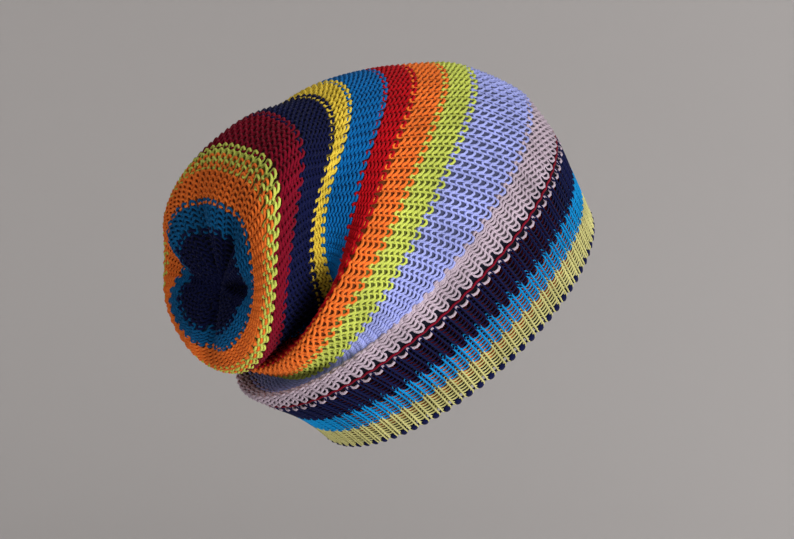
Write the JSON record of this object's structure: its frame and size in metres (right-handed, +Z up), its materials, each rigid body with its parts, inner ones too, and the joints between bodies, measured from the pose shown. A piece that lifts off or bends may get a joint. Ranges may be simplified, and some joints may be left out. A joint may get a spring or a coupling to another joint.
{
  "type": "slouchy knitted beanie",
  "caption": "Slouchy striped knitted beanie with a turned ribbed band and a gathered end that hangs over at the back.",
  "frame": {"origin": "middle of the opening that the head goes into, in the plane of the rim's middle line", "axes": "+X the way the wearer's face looks, +Y the wearer's left, +Z up, with the hat at the tilt at which it is worn"},
  "size_m": [0.2246, 0.1552, 0.1975],
  "materials": {
    "crown_knit": "plain knitted yarn in stripes of many colours, purl side out, matte with a soft sheen on each loop",
    "rib_knit": "ribbed knitted yarn in olive, bright blue and navy stripes, matte",
    "facing_knit": "knitted yarn of the turned-in layer, matte"
  },
  "bodies": {
    "root": {"crown": "crown_knit", "rib_brim": "rib_knit", "brim_facing": "facing_knit"}
  },
  "joints": []
}
